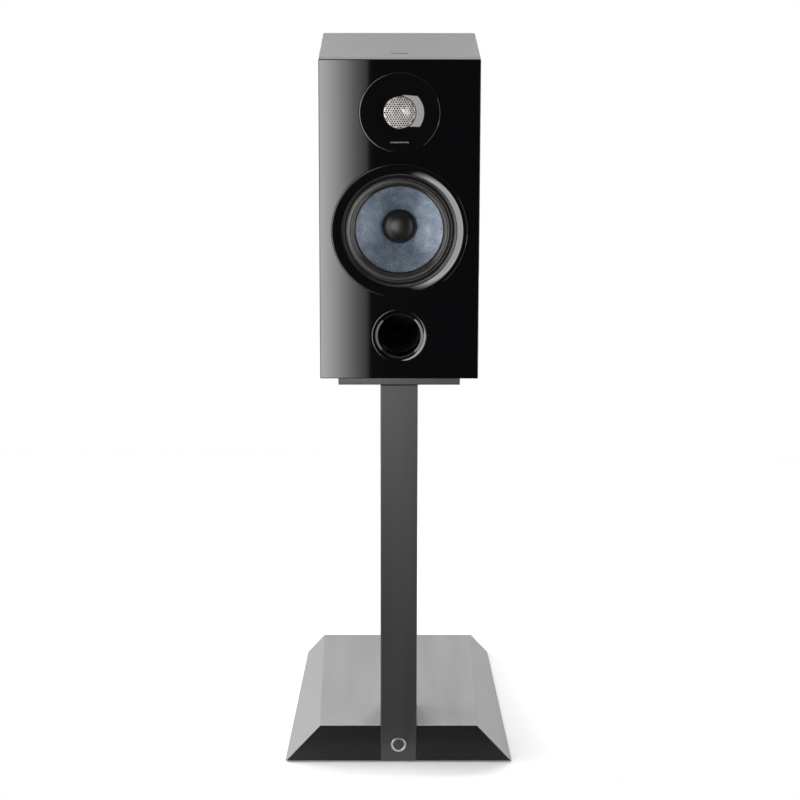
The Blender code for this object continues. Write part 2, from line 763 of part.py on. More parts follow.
def stand(finishes):
    """The floor stand, with the bolts that hold it together and hold the cabinet on it."""
    top_plate(finishes["stand_black"])
    column(finishes["stand_black"])
    base(finishes["stand_grey"])
    rod_long = PLATE_TOP - ROD_HEAD_DEEP + 2 * GAP - (BASE_LIFT + 1 * MM)
    rod = [
        (0, 4),
        (ROD_HEAD / MM, 4),
        (ROD_HEAD / MM, 0),
        (ROD_RADIUS / MM, 0),
        (ROD_RADIUS / MM, -rod_long / MM),
        (0, -rod_long / MM),
    ]
    for word, along in zip(("front", "rear"), ROD_YS):
        spot = (0, along, PLATE_TOP - ROD_HEAD_DEEP + GAP)
        turned(f"stand_tie_rod_{word}", rod, finishes["steel"], spot, UPRIGHT, COARSE, ring=False)
    for number, (across, along) in enumerate(bolt_places(), 1):
        spot = (across, along, PLATE_BOTTOM - GAP)
        sizes = (5.5 * MM, 3.5 * MM, 3 * MM, BOLT_REACH)
        upside_down = (math.pi, 0, 0)
        screw(f"stand_bolt_{number}", *sizes, finishes["steel"], spot, upside_down)
    thick = (BASE_LIFT - GAP) / MM
    radius = FOOT_RADIUS / MM
    edge = FOOT_EDGE / MM
    pad = [(0, thick), (radius, thick), (radius, edge), (radius - edge, 0), (0, 0)]
    front = STAND_FRONT_Y + FOOT_INSET
    back = STAND_FRONT_Y + BASE_DEPTH - FOOT_INSET
    places = [(side * FOOT_FRONT_X, front) for side in (-1, 1)]
    places += [(side * FOOT_BACK_X, back) for side in (-1, 1)]
    for number, (across, along) in enumerate(places, 1):
        name = f"stand_foot_{number}"
        turned(name, pad, finishes["foot_rubber"], (across, along, 0), UPRIGHT, 16, ring=False)


def clear_scene():
    """Removes whatever the scene holds."""
    for old in list(bpy.data.objects):
        bpy.data.objects.remove(old)


def main():
    clear_scene()
    finishes = make_materials()
    cabinet_shell(finishes["black_vinyl"])
    front_panel(finishes["black_gloss"])
    back_panel(finishes["black_vinyl"])
    brace(finishes["raw_board"])
    wadding(finishes["wadding"])
    woofer(finishes)
    tweeter(finishes)
    port(finishes)
    terminals(finishes)
    stand(finishes)


main()
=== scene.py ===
"""The looks of a two-way loudspeaker on its floor stand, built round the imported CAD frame.

Metres, +Z up, the speaker faces -Y. Turned outlines are in millimetres: (radius, height), where
the height is measured out of the cabinet's front or rear face.
"""

import json
import math

import bmesh
import bpy
import numpy as np
from mathutils import Matrix, Vector

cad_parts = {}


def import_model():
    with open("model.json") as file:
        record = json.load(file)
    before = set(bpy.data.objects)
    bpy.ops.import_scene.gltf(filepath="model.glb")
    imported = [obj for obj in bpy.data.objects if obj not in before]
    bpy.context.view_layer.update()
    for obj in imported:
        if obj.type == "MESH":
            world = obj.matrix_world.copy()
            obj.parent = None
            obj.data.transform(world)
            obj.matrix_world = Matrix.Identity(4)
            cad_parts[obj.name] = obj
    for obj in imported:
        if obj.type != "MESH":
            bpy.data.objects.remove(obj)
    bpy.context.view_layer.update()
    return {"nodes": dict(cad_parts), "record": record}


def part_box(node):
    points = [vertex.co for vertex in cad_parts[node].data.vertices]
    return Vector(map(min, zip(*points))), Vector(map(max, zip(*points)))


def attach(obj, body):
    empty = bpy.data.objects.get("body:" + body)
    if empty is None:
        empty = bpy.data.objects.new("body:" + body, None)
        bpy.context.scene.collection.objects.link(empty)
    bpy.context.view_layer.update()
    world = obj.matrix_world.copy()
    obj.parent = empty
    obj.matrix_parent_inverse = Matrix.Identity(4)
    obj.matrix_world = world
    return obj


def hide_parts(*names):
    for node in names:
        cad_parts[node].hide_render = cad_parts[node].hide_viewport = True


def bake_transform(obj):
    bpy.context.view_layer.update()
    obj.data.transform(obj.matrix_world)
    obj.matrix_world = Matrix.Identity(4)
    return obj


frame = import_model()

MM = 0.001
SPEAKER = "speaker"

# ---------------------------------------------------------------- places read from the frame


def middle_of(node):
    """The middle of a CAD node's box."""
    low, high = (Vector(corner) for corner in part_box(node))
    return (low + high) / 2


def span_of(node):
    """The size of a CAD node's box."""
    low, high = (Vector(corner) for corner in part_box(node))
    return high - low


BAFFLE_LOW, BAFFLE_HIGH = (Vector(corner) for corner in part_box("front_baffle"))
SHELL_LOW, SHELL_HIGH = (Vector(corner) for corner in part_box("cabinet_shell"))
FRONT_Y = BAFFLE_LOW.y
BACK_Y = SHELL_HIGH.y
WOOFER = Vector((0, FRONT_Y, middle_of("woofer_magnet").z))
TWEETER = Vector((0, FRONT_Y, middle_of("tweeter_motor").z))
PORT = Vector((0, FRONT_Y, middle_of("port_tube").z))
TERMINALS = Vector((0, BACK_Y, middle_of("terminal_cup").z))
BASE_LOW, BASE_HIGH = (Vector(corner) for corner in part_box("stand_base"))

# Facets round a circle
FINE = 160
MEDIUM = 72
SMALL = 36

# The widest angle in degrees that is shaded smooth: on a box before it is cut, and after
FLAT = 12
CRISP = 35

# Radius of the rounded edges of the cabinet and of the column
BOX_EDGE = 1.3 * MM

# Radius of the tweeter's guard in mm
GUARD = 20.9


# ---------------------------------------------------------------- material building


class Nodes:
    """A material's node tree, with short calls for the nodes that the finishes need."""

    def __init__(self, name):
        self.material = bpy.data.materials.new(name)
        self.material.use_nodes = True
        self.tree = self.material.node_tree
        self.shader = self.tree.nodes["Principled BSDF"]
        self.coords = self.tree.nodes.new("ShaderNodeTexCoord").outputs["Object"]

    def add(self, kind, **settings):
        node = self.tree.nodes.new(kind)
        for key, value in settings.items():
            setattr(node, key, value)
        return node

    def link(self, source, target):
        self.tree.links.new(source, target)

    def set(self, **values):
        """Sets constants on the shader's own sockets."""
        for key, value in values.items():
            self.shader.inputs[key.replace("_", " ")].default_value = value

    def stretched(self, scale):
        """The object's coordinates, stretched along its axes."""
        mapping = self.add("ShaderNodeMapping")
        mapping.inputs["Scale"].default_value = scale
        self.link(self.coords, mapping.inputs["Vector"])
        return mapping.outputs["Vector"]

    def noise(self, scale, detail=3.0, roughness=0.5, coords=None):
        node = self.add("ShaderNodeTexNoise")
        node.inputs["Scale"].default_value = scale
        node.inputs["Detail"].default_value = detail
        node.inputs["Roughness"].default_value = roughness
        self.link(coords or self.coords, node.inputs["Vector"])
        return node.outputs["Fac"]

    def spread(self, value, low, high, from_low=0.3, from_high=0.7):
        """Maps a value onto another range."""
        node = self.add("ShaderNodeMapRange")
        node.inputs["From Min"].default_value = from_low
        node.inputs["From Max"].default_value = from_high
        node.inputs["To Min"].default_value = low
        node.inputs["To Max"].default_value = high
        self.link(value, node.inputs["Value"])
        return node.outputs["Result"]

    def ramp(self, value, stops):
        node = self.add("ShaderNodeValToRGB")
        ramp = node.color_ramp
        while len(ramp.elements) < len(stops):
            ramp.elements.new(0.5)
        for element, (place, colour) in zip(ramp.elements, stops):
            element.position = place
            element.color = (*colour, 1)
        self.link(value, node.inputs["Fac"])
        return node.outputs["Color"]

    def mixed(self, one, two, share=0.5):
        """Two values added with a share of each."""
        node = self.add("ShaderNodeMix")
        node.inputs["Factor"].default_value = share
        self.link(one, node.inputs["A"])
        self.link(two, node.inputs["B"])
        return node.outputs["Result"]

    def bump(self, height, strength, distance):
        node = self.add("ShaderNodeBump")
        node.inputs["Strength"].default_value = strength
        node.inputs["Distance"].default_value = distance
        self.link(height, node.inputs["Height"])
        self.link(node.outputs["Normal"], self.shader.inputs["Normal"])


def tones(colour, spread):
    """A darker and a lighter tone of one colour."""
    dark = tuple(max(0.0, part * (1 - spread)) for part in colour)
    light = tuple(min(1.0, part * (1 + spread)) for part in colour)
    return [(0.3, dark), (0.7, light)]


def grained(name, colour, roughness, grain, depth, metallic=0.0, spread=0.12, stretch=None, **sockets):
    """A finish with a fine grain: its tone, roughness and bump all follow the grain.

    grain is the grain's frequency per metre, and depth the bump's height in metres.
    """
    made = Nodes(name)
    coords = made.stretched(stretch) if stretch else None
    fine = made.noise(grain, 4, 0.55, coords)
    broad = made.noise(grain / 22, 3, 0.5, coords)
    both = made.mixed(fine, broad, 0.45)
    made.link(made.ramp(both, tones(colour, spread)), made.shader.inputs["Base Color"])
    low, high = roughness
    made.link(made.spread(both, low, high), made.shader.inputs["Roughness"])
    made.set(Metallic=metallic, **sockets)
    if depth:
        made.bump(fine, 0.6, depth)
    return made.material


def slate_fibre():
    """Pressed mottled fibre: pale and blue-grey flecks with short hairs running through them."""
    made = Nodes("look_slate_fibre")
    flecks = made.noise(520, 6, 0.72)
    hairs = made.noise(900, 5, 0.7, made.stretched((1.0, 1.0, 0.28)))
    blots = made.noise(75, 3, 0.5)
    tone = made.mixed(made.mixed(flecks, hairs, 0.45), blots, 0.25)
    stops = [
        (0.30, (0.016, 0.028, 0.044)),
        (0.44, (0.048, 0.070, 0.098)),
        (0.54, (0.100, 0.121, 0.152)),
        (0.66, (0.240, 0.256, 0.290)),
    ]
    made.link(made.ramp(tone, stops), made.shader.inputs["Base Color"])
    made.link(made.spread(flecks, 0.34, 0.52), made.shader.inputs["Roughness"])
    made.set(Metallic=0.4)
    made.bump(made.mixed(flecks, hairs, 0.5), 0.5, 0.00012)
    return made.material


def woven(name, colour, threads, depth):
    """A plain weave, as of resin-dipped cloth."""
    made = Nodes(name)
    waves = []
    for direction in ("X", "Z"):
        wave = made.add("ShaderNodeTexWave", bands_direction=direction)
        wave.inputs["Scale"].default_value = threads
        made.link(made.coords, wave.inputs["Vector"])
        waves.append(wave.outputs["Fac"])
    weave = made.mixed(*waves)
    made.link(made.ramp(weave, tones(colour, 0.35)), made.shader.inputs["Base Color"])
    made.link(made.spread(weave, 0.7, 0.9, 0, 1), made.shader.inputs["Roughness"])
    made.bump(weave, 0.5, depth)
    return made.material


def wound_wire(name, colour, turns, metallic):
    """Wire wound round Y in fine turns."""
    made = Nodes(name)
    wave = made.add("ShaderNodeTexWave", bands_direction="Y", wave_profile="SIN")
    wave.inputs["Scale"].default_value = turns
    wave.inputs["Distortion"].default_value = 0.4
    made.link(made.coords, wave.inputs["Vector"])
    turn = wave.outputs["Fac"]
    groove = tuple(part * 0.45 for part in colour)
    made.link(made.ramp(turn, [(0.1, groove), (0.8, colour)]), made.shader.inputs["Base Color"])
    made.link(made.spread(turn, 0.42, 0.26, 0, 1), made.shader.inputs["Roughness"])
    made.set(Metallic=metallic)
    made.bump(turn, 0.8, 0.0002)
    return made.material


def make_looks():
    """The finish of each material slot of the record.

    A row gives the slot's colour, its roughness from low to high, the grain's frequency and depth,
    and how metallic it is.
    """
    plain = {
        "black_vinyl": ((0.019, 0.019, 0.020), (0.46, 0.58), 2100, 0.00012, 0.0),
        "black_gloss": ((0.0014, 0.0014, 0.0018), (0.02, 0.035), 60, 0, 0.0),
        "raw_board": ((0.34, 0.24, 0.15), (0.78, 0.92), 1500, 0.00015, 0.0),
        "wadding": ((0.62, 0.60, 0.55), (0.9, 1.0), 420, 0.0012, 0.0),
        "trim_black": ((0.0016, 0.0016, 0.002), (0.025, 0.045), 300, 0, 0.0),
        "soft_black": ((0.006, 0.006, 0.006), (0.28, 0.36), 1800, 0.00005, 0.0),
        "rubber": ((0.010, 0.0085, 0.008), (0.20, 0.28), 1500, 0.00004, 0.0),
        "cast_alloy": ((0.085, 0.085, 0.09), (0.42, 0.58), 1300, 0.00015, 0.8),
        "steel": ((0.50, 0.50, 0.52), (0.24, 0.38), 900, 0.00003, 1.0),
        "ferrite": ((0.028, 0.028, 0.030), (0.5, 0.66), 1700, 0.0001, 0.0),
        "silver_mesh": ((0.50, 0.475, 0.46), (0.50, 0.60), 2000, 0.00001, 1.0),
        "dome_alloy": ((0.22, 0.21, 0.20), (0.05, 0.09), 1500, 0, 1.0),
        "brass": ((0.78, 0.56, 0.24), (0.16, 0.28), 1200, 0.00002, 1.0),
        "red_plastic": ((0.40, 0.012, 0.014), (0.18, 0.28), 1100, 0.00002, 0.0),
        "black_plastic": ((0.014, 0.014, 0.015), (0.38, 0.5), 1900, 0.00008, 0.0),
        "circuit_board": ((0.010, 0.028, 0.016), (0.4, 0.55), 260, 0.00003, 0.0),
        "film_yellow": ((0.62, 0.47, 0.10), (0.25, 0.36), 900, 0.00003, 0.0),
        "white_ceramic": ((0.78, 0.76, 0.72), (0.55, 0.7), 1600, 0.0001, 0.0),
        "stand_black": ((0.015, 0.015, 0.0155), (0.30, 0.38), 1100, 0.00004, 0.15),
        "stand_grey": ((0.188, 0.188, 0.191), (0.34, 0.44), 700, 0.00003, 0.55),
        # Near-black for the faces on the foot's front: painted shade that darkens the front of the grey foot
        "foot_front_painted_shade": ((0.004, 0.004, 0.0042), (0.32, 0.44), 1500, 0.00004, 0.0),
        "foot_rubber": ((0.018, 0.018, 0.018), (0.75, 0.9), 1400, 0.0002, 0.0),
    }
    extras = {
        "black_vinyl": {"Specular_IOR_Level": 0.36},
        "black_gloss": {"spread": 0.2, "IOR": 1.52},
        "raw_board": {"spread": 0.22},
        "wadding": {"spread": 0.25, "Sheen_Weight": 0.3},
        "trim_black": {"spread": 0.25, "IOR": 1.5},
        "soft_black": {"Specular_IOR_Level": 0.28},
        "rubber": {"spread": 0.2, "Specular_IOR_Level": 0.3},
        "silver_mesh": {"spread": 0.06},
        "dome_alloy": {"spread": 0.05},
        "brass": {"spread": 0.08},
        "red_plastic": {"Coat_Weight": 0.3},
        "circuit_board": {"spread": 0.3},
        "stand_black": {"spread": 0.16, "stretch": (1.0, 1.0, 0.06), "Specular_IOR_Level": 0.7},
        "stand_grey": {"spread": 0.14, "stretch": (1.0, 0.06, 1.0)},
        "foot_front_painted_shade": {"spread": 0.2, "stretch": (0.06, 1.0, 1.0), "Specular_IOR_Level": 0.22},
    }
    made = {slot: grained(f"look_{slot}", *row, **extras.get(slot, {})) for slot, row in plain.items()}
    made["slate_fibre"] = slate_fibre()
    made["polyimide"] = wound_wire("look_polyimide", (0.42, 0.20, 0.06), 900, 0.3)
    made["copper"] = wound_wire("look_copper", (0.62, 0.24, 0.10), 420, 1.0)
    made["yellow_cloth"] = woven("look_yellow_cloth", (0.60, 0.42, 0.12), 700, 0.0002)
    return made


looks = make_looks()
slot_of_node = {entry["node"]: entry["material_slot"] for entry in frame["record"]["subparts"]}


def dress_cad_nodes():
    """Gives every CAD node that stays visible the finish of its slot."""
    for name, node in frame["nodes"].items():
        node.data.materials.clear()
        node.data.materials.append(looks[slot_of_node[name]])


# ---------------------------------------------------------------- mesh building


def piece(name, bm, look, body=SPEAKER, replaces=(), crease=30, where=None):
    """Makes a named piece from a bmesh, puts it on its body and hides the CAD nodes it stands for."""
    if where is not None:
        bmesh.ops.transform(bm, matrix=where, verts=bm.verts)
    bmesh.ops.recalc_face_normals(bm, faces=bm.faces)
    mesh = bpy.data.meshes.new(name)
    bm.to_mesh(mesh)
    bm.free()
    mesh.shade_smooth()
    mesh.set_sharp_from_angle(angle=math.radians(crease))
    mesh.materials.append(looks[look])
    made = bpy.data.objects.new(name, mesh)
    bpy.context.scene.collection.objects.link(made)
    if body is not None:
        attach(made, body)
    if replaces:
        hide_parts(*replaces)
    return made


def facing_front(centre):
    """Places a shape whose own Z points out of the front panel."""
    return Matrix.Translation(centre) @ Matrix.Rotation(math.pi / 2, 4, "X")


def facing_back(centre):
    """Places a shape whose own Z points out of the rear panel."""
    return Matrix.Translation(centre) @ Matrix.Rotation(-math.pi / 2, 4, "X")


def arc(middle, radii, start, end, count):
    """Points of an elliptical arc from one angle in degrees to another."""
    turns = [math.radians(start + (end - start) * index / count) for index in range(count + 1)]
    return [(middle[0] + radii[0] * math.cos(t), middle[1] + radii[1] * math.sin(t)) for t in turns]


def curve(points, count):
    """A smooth line through a few points, for the flowing parts of an outline."""
    spots = [Vector(point) for point in points]
    spots = [2 * spots[0] - spots[1]] + spots + [2 * spots[-1] - spots[-2]]
    made = []
    for a, b, c, d in zip(spots, spots[1:], spots[2:], spots[3:]):
        for index in range(count):
            t = index / count
            point = 0.5 * (
                2 * b + (c - a) * t + (2 * a - 5 * b + 4 * c - d) * t**2 + (3 * b - 3 * c + d - a) * t**3
            )
            made.append(tuple(point))
    made.append(tuple(spots[-2]))
    return made


def turned(outline, steps=FINE, closed=True, flutes=0, flute_depth=0.0, fluted=()):
    """A solid of revolution about Z. Outline points listed in fluted get grip flutes round them."""
    bm = bmesh.new()
    rings = []
    for index, (radius, height) in enumerate(outline):
        if radius < 1e-6:
            rings.append([bm.verts.new((0, 0, height * MM))] * steps)
            continue
        ring = []
        for step in range(steps):
            angle = 2 * math.pi * step / steps
            reach = radius
            if index in fluted:
                reach -= flute_depth * (0.5 - 0.5 * math.cos(flutes * angle)) ** 2
            spot = (reach * MM * math.cos(angle), reach * MM * math.sin(angle), height * MM)
            ring.append(bm.verts.new(spot))
        rings.append(ring)
    pairs = list(zip(rings, rings[1:]))
    if closed:
        pairs.append((rings[-1], rings[0]))
    for lower, upper in pairs:
        for step in range(steps):
            after = (step + 1) % steps
            corners = [lower[step], lower[after], upper[after], upper[step]]
            distinct = list(dict.fromkeys(corners))
            if len(distinct) > 2:
                bm.faces.new(distinct)
    return bm


def block(low, high, bevel, segments=3):
    """A rectangular block with rounded edges, between two opposite corners."""
    low, high = Vector(low), Vector(high)
    bm = bmesh.new()
    bmesh.ops.create_cube(bm, size=1)
    bmesh.ops.scale(bm, vec=high - low, verts=bm.verts)
    bmesh.ops.translate(bm, vec=(low + high) / 2, verts=bm.verts)
    bmesh.ops.bevel(bm, geom=list(bm.edges), offset=bevel, segments=segments, profile=0.5, affect="EDGES")
    return bm


def rounded_levels(levels, corner_steps=8):
    """A closed solid through a stack of rounded rectangles: (width, height, corner, level) in mm."""
    bm = bmesh.new()
    loops = []
    for width, height, radius, level in levels:
        loop = []
        for quarter, (side_x, side_y) in enumerate(((1, 1), (-1, 1), (-1, -1), (1, -1))):
            for step in range(corner_steps + 1):
                angle = math.pi / 2 * (quarter + step / corner_steps)
                across = side_x * (width / 2 - radius) + radius * math.cos(angle)
                along = side_y * (height / 2 - radius) + radius * math.sin(angle)
                loop.append(bm.verts.new((across * MM, along * MM, level * MM)))
        loops.append(loop)
    for lower, upper in zip(loops, loops[1:]):
        for index in range(len(lower)):
            after = (index + 1) % len(lower)
            bm.faces.new((lower[index], lower[after], upper[after], upper[index]))
    bm.faces.new(loops[0])
    bm.faces.new(loops[-1])
    return bm


def crisp(target):
    """Keeps wide faces flat right up to their rounded edges."""
    target.data.set_sharp_from_angle(angle=math.radians(CRISP))
    flat = target.modifiers.new("flat_faces", "WEIGHTED_NORMAL")
    flat.keep_sharp = True
    flat.weight = 100


def carve(target, tools, where=None):
    """Cuts bmesh tools out of a piece for good, so no modifier is left on it."""
    joined = bmesh.new()
    for tool in tools:
        mesh = bpy.data.meshes.new("tool")
        bmesh.ops.recalc_face_normals(tool, faces=tool.faces)
        tool.to_mesh(mesh)
        tool.free()
        joined.from_mesh(mesh)
        bpy.data.meshes.remove(mesh)
    if where is not None:
        bmesh.ops.transform(joined, matrix=where, verts=joined.verts)
    mesh = bpy.data.meshes.new("tool")
    joined.to_mesh(mesh)
    joined.free()
    helper = bpy.data.objects.new("tool", mesh)
    bpy.context.scene.collection.objects.link(helper)
    modifier = target.modifiers.new("carve", "BOOLEAN")
    modifier.operation = "DIFFERENCE"
    modifier.solver = "EXACT"
    modifier.object = helper
    graph = bpy.context.evaluated_depsgraph_get()
    done = bpy.data.meshes.new_from_object(target.evaluated_get(graph))
    target.modifiers.remove(modifier)
    old = target.data
    target.data = done
    bpy.data.meshes.remove(old)
    bpy.data.objects.remove(helper)
    bpy.data.meshes.remove(mesh)
    done.shade_smooth()
    done.set_sharp_from_angle(angle=math.radians(CRISP))


def stepped(wide, depth, narrow, reach, steps=FINE):
    """A cutter for a hole with a wider seat at its mouth and a small chamfer round it, in mm."""
    chamfer, chamfer_depth, clear = 0.35, 0.5, 5
    outline = [(0, clear), (wide + chamfer, clear), (wide + chamfer, 0), (wide, -chamfer_depth)]
    outline += [(wide, -depth), (narrow, -depth), (narrow, -reach), (0, -reach)]
    return turned(outline, steps, closed=False)


def bends_across(made, centre, inner, outer):
    """Bakes a round suspension's placement and works out each point's share of the bend, from its rim to its
    inner edge; nothing applies that share, so the suspension does not bend.
    """
    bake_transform(made)
    spots = np.array([vertex.co for vertex in made.data.vertices]) - np.array(centre)
    reach = np.hypot(spots[:, 0], spots[:, 2]) / MM
    share = np.clip((outer - reach) / (outer - inner), 0, 1)
    share = share * share * (3 - 2 * share)


# ---------------------------------------------------------------- cabinet


def cabinet():
    """Front panel, folded sleeve and rear panel, with finely rounded edges and clean round seats."""
    baffle_block = block(BAFFLE_LOW, BAFFLE_HIGH, BOX_EDGE, 4)
    baffle = piece("front_panel", baffle_block, "black_gloss", replaces=["front_baffle"], crease=FLAT)
    # Each seat's radius and depth, and the radius of the hole behind it
    seats = ((TWEETER, (53.0, 5, 37.8)), (WOOFER, (89.5, 7.8, 76.2)), (PORT, (36.6, 4, 32.8)))
    through = 40
    for centre, seat in seats:
        carve(baffle, [stepped(*seat, through)], facing_front(centre))
    crisp(baffle)

    shell_block = block(SHELL_LOW, SHELL_HIGH, BOX_EDGE, 4)
    shell = piece("cabinet_sleeve", shell_block, "black_vinyl", replaces=["cabinet_shell"], crease=FLAT)
    back_low, back_high = (Vector(corner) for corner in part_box("back_panel"))
    gap, past = 0.3 * MM, 10 * MM
    hollow = block(
        (back_low.x - gap, SHELL_LOW.y - past, back_low.z - gap),
        (back_high.x + gap, SHELL_HIGH.y + past, back_high.z + gap),
        0.2 * MM,
        1,
    )
    carve(shell, [hollow])
    crisp(shell)

    back_block = block(back_low, back_high, 0.5 * MM, 2)
    back = piece("rear_panel", back_block, "black_vinyl", replaces=["back_panel"], crease=FLAT)
    cup_hole = [(84.6, 84.6, 3, -20), (84.6, 84.6, 3, 5)]
    carve(back, [rounded_levels(cup_hole)], facing_back(TERMINALS))
    crisp(back)


def marks():
    """Plain stand-ins for the marks: a pill on top, a bar under the tweeter, a ring on the column."""
    pill = [(24, 8, 3.9, 0), (24, 8, 3.9, 0.12), (23.8, 7.8, 3.8, 0.16)]
    spot = Vector((0, FRONT_Y + 56 * MM, SHELL_HIGH.z))
    piece("top_mark", rounded_levels(pill), "foot_rubber", where=Matrix.Translation(spot))
    bar = [(24, 1.8, 0.85, -0.3), (24, 1.8, 0.85, 0.08)]
    spot = TWEETER + Vector((0, -0.85 * MM, -38.5 * MM))
    piece("front_mark", rounded_levels(bar), "cast_alloy", where=facing_front(spot))
    badge = [(7.7, 0), (10.2, 0), (10.2, 0.3), (9.9, 0.5), (8, 0.5), (7.7, 0.3)]
    spot = Vector((0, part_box("stand_column")[0][1], 26 * MM))
    piece("column_mark", turned(badge, MEDIUM), "steel", where=facing_front(spot))


# ---------------------------------------------------------------- woofer


def woofer():
    """Trim ring, rubber surround with its two beads, fibre cone, dust cap and spider."""
    place = facing_front(WOOFER)
    trim = [(89.3, -3.7), (89.3, 0.7)] + arc((88.5, 0.7), (0.8, 0.8), 0, 90, 4)[1:]
    trim += [(88.2, 1.49), (87.9, 1.485), (83.8, 1.395), (83.5, 1.38), (83.3, 1.365)]
    trim += curve([(83.1, 1.35), (81.0, 1.17), (78.5, 0.92), (76.3, 0.68)], 5)
    trim += [(76.0, 0.56), (75.8, 0.3), (75.8, -3.7)]
    piece("woofer_trim", turned(trim), "trim_black", replaces=["woofer_trim_ring"], where=place, crease=25)

    roll = arc((65.3, -8.5), (7.7, 5.8), 33, 180, 44)
    roll = [(radius, height + bead(radius, 69.4) + bead(radius, 62.6)) for radius, height in roll]
    under = arc((65.3, -9.1), (6.9, 5.1), 180, 33, 16)
    outline = [(80, -4.8), (80, -4.15), (74.6, -4.15), (73.2, -4.3)] + roll
    outline += [(57.5, -10.2), (57.7, -10.7), (58.7, -10.7)] + under + [(72.6, -4.8)]
    roll_shape = turned(outline)
    surround = piece("woofer_roll", roll_shape, "rubber", None, ["woofer_surround"], where=place, crease=40)
    bends_across(surround, WOOFER, 58, 73)

    face = curve([(57.3, -10.4), (48, -15.4), (36, -23.0), (27, -29.6), (22.0, -33.5), (16.1, -38)], 8)
    thickness = 1.3
    rear = [(radius, height - thickness) for radius, height in reversed(face)]
    cone = turned(face + rear)
    body = "woofer_diaphragm"
    piece("woofer_fibre_cone", cone, "slate_fibre", body, ["woofer_cone"], where=place, crease=40)

    cap = arc((0, -32.2), (21.2, 9), 90, 12, 22)
    cap += [(21.4, -31.4), (21.9, -31.2), (22.5, -31.7), (22.5, -32.4), (21.4, -32.5)]
    cap += arc((0, -32.6), (20.6, 8.4), 4, 90, 12)
    dome = turned(cap, closed=False)
    piece("woofer_cap", dome, "soft_black", body, ["woofer_dust_cap"], where=place, crease=40)

    inner, width, level, swing, folds = 16.1, 32.2, -48, 1.5, 7
    shares = np.linspace(0, 1, 57)
    waves = [(inner + width * part, level - swing * math.sin(folds * math.pi * part)) for part in shares]
    cloth = 0.7
    cloth_outline = waves + [(radius, height - cloth) for radius, height in reversed(waves)]
    sheet = turned(cloth_outline, MEDIUM)
    replaced = ["woofer_spider"]
    spider = piece("woofer_suspension", sheet, "yellow_cloth", None, replaced, where=place, crease=60)
    bends_across(spider, WOOFER, 17, 47)


def bead(radius, middle):
    """The height that a small round bead adds to the surround at a radius."""
    half_width, rise = 0.9, 0.42
    distance = abs(radius - middle) / half_width
    return rise * (1 - distance * distance) ** 0.5 if distance < 1 else 0.0


# ---------------------------------------------------------------- tweeter


def dish_height(radius):
    """Height of the polished dish round the guard: part of a sphere, all in mm."""
    sphere, rim, rim_height = 148, 31.7, 0.64
    drop = (sphere * sphere - rim * rim) ** 0.5
    return rim_height - (sphere * sphere - radius * radius) ** 0.5 + drop


def guard_height(radius):
    """Height of the mesh guard's face at a radius, all in mm."""
    edge_height, rise, fullness = -2.1, 3.1, 0.8
    reach = min(radius / GUARD, 1)
    return edge_height + rise * (1 - reach * reach) ** fullness


def mesh_guard(place):
    """The perforated guard: round holes on a hexagonal grid, pressed into a dome, in a turned rim."""
    pitch = 3.2
    hole = 1.25
    corners = 12
    # Height of a hexagon's flat side over its corner, which is also the step from row to row
    flat = 0.866
    bm = bmesh.new()
    rows = int(GUARD / (pitch * flat)) + 2
    for row in range(-rows, rows + 1):
        for column in range(-rows, rows + 1):
            middle = Vector(((column + 0.5 * (row % 2)) * pitch, row * pitch * flat))
            if middle.length > GUARD + pitch * 0.2:
                continue
            closed_cell = middle.length > GUARD - pitch * 0.42
            outer, inner = [], []
            for index in range(corners):
                angle = 2 * math.pi * index / corners + math.pi / 6
                reach = pitch / math.sqrt(3) * (1 if index % 2 == 0 else flat)
                direction = Vector((math.cos(angle), math.sin(angle)))
                outer.append(guard_point(bm, middle + direction * reach))
                if not closed_cell:
                    inner.append(guard_point(bm, middle + direction * hole))
            if closed_cell:
                bm.faces.new(outer)
                continue
            for index in range(corners):
                after = (index + 1) % corners
                bm.faces.new((outer[index], outer[after], inner[after], inner[index]))
    touching = 1e-6
    bmesh.ops.remove_doubles(bm, verts=bm.verts, dist=touching)
    bmesh.ops.dissolve_degenerate(bm, dist=touching, edges=bm.edges)
    mesh = piece("tweeter_mesh", bm, "silver_mesh", replaces=["tweeter_grille"], where=place, crease=50)
    thick = mesh.modifiers.new("sheet", "SOLIDIFY")
    thick.thickness = 0.4 * MM
    thick.offset = -1
    rim = [(21.4, -2.6), (21.4, -1.9), (21.2, -1.7), (20.9, -1.8), (20.7, -2.2), (20.6, -2.6)]
    piece("tweeter_mesh_rim", turned(rim, FINE), "trim_black", where=place)


def guard_point(bm, spot):
    """A point of the guard, kept inside its round edge and lifted onto the dome."""
    if spot.length > GUARD:
        spot = spot * (GUARD / spot.length)
    return bm.verts.new((spot.x * MM, spot.y * MM, guard_height(spot.length) * MM))


